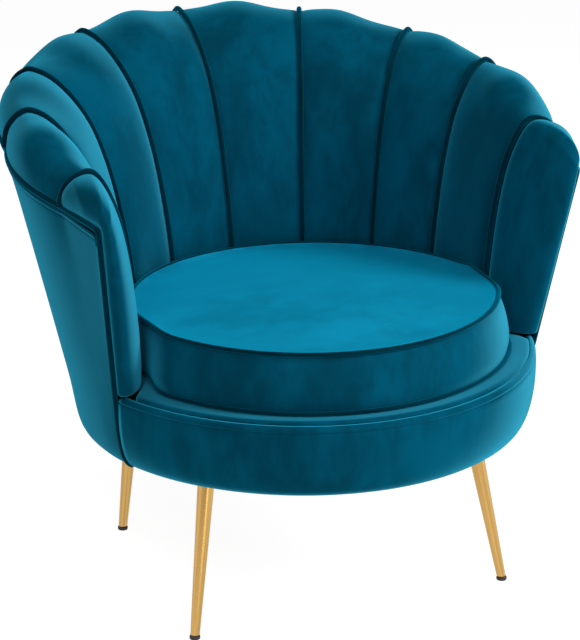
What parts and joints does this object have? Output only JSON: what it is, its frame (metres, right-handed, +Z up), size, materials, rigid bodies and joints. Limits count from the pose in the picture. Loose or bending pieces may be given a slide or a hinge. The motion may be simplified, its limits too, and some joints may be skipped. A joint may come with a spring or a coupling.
{
  "type": "scallop back tub chair",
  "caption": "Upholstered tub chair with a channelled scallop-edged shell back and arms, a round loose seat cushion with piping and slim splayed metal legs with foot caps.",
  "frame": {"origin": "on the floor, under the middle of the whole chair", "axes": "+Z up, the chair faces -Y, +X is on the right of someone who looks at its front"},
  "size_m": [0.8494, 0.884, 0.7786],
  "materials": {
    "velvet": "teal velvet pile with a soft sheen, stretched smooth over padding",
    "cushion_velvet": "the same teal velvet, its pile brushed lighter on the cushion",
    "piping": "very dark teal cord in bias-cut cloth",
    "plywood": "bare sanded plywood, hidden",
    "webbing": "woven elastic webbing, hidden",
    "lining": "thin matt non-woven lining",
    "brass": "brushed pale gold, satin",
    "steel": "zinc plated",
    "rubber": "dark matt, slightly worn"
  },
  "bodies": {
    "chair": {"back_channel_1": "velvet", "back_channel_2": "velvet", "back_channel_3": "velvet", "back_channel_4": "velvet", "back_channel_5": "velvet", "back_channel_6": "velvet", "back_channel_7": "velvet", "back_channel_8": "velvet", "back_channel_9": "velvet", "back_channel_10": "velvet", "outer_back_cover": "velvet", "base_apron": "velvet", "seat_deck": "velvet", "channel_piping_1": "piping", "channel_piping_2": "piping", "channel_piping_3": "piping", "channel_piping_4": "piping", "channel_piping_5": "piping", "channel_piping_6": "piping", "channel_piping_7": "piping", "channel_piping_8": "piping", "channel_piping_9": "piping", "edge_welt": "piping", "base_ring_lower": "plywood", "base_ring_upper": "plywood", "base_hoop": "plywood", "back_rib_center": "plywood", "rear_rib_left": "plywood", "rear_rib_right": "plywood", "arm_rib_left": "plywood", "arm_rib_right": "plywood", "top_rail": "plywood", "seat_webbing_long_1": "webbing", "seat_webbing_long_2": "webbing", "seat_webbing_cross_1": "webbing", "seat_webbing_cross_2": "webbing", "dust_cover": "lining", "leg_front_left": "brass", "leg_front_right": "brass", "leg_rear_left": "brass", "leg_rear_right": "brass", "leg_front_left_bolt_a": "steel", "leg_front_left_bolt_b": "steel", "leg_front_right_bolt_a": "steel", "leg_front_right_bolt_b": "steel", "leg_rear_left_bolt_a": "steel", "leg_rear_left_bolt_b": "steel", "leg_rear_right_bolt_a": "steel", "leg_rear_right_bolt_b": "steel", "foot_cap_front_left": "rubber", "foot_cap_front_right": "rubber", "foot_cap_rear_left": "rubber", "foot_cap_rear_right": "rubber"},
    "cushion": {"seat_cushion": "cushion_velvet", "cushion_piping_top": "piping", "cushion_piping_bottom": "piping"}
  },
  "joints": [
    {"name": "cushion_lift", "type": "slide", "parent": "chair", "child": "cushion", "axis": [0, 0, 1], "range_m": [0, 0.42]}
  ]
}
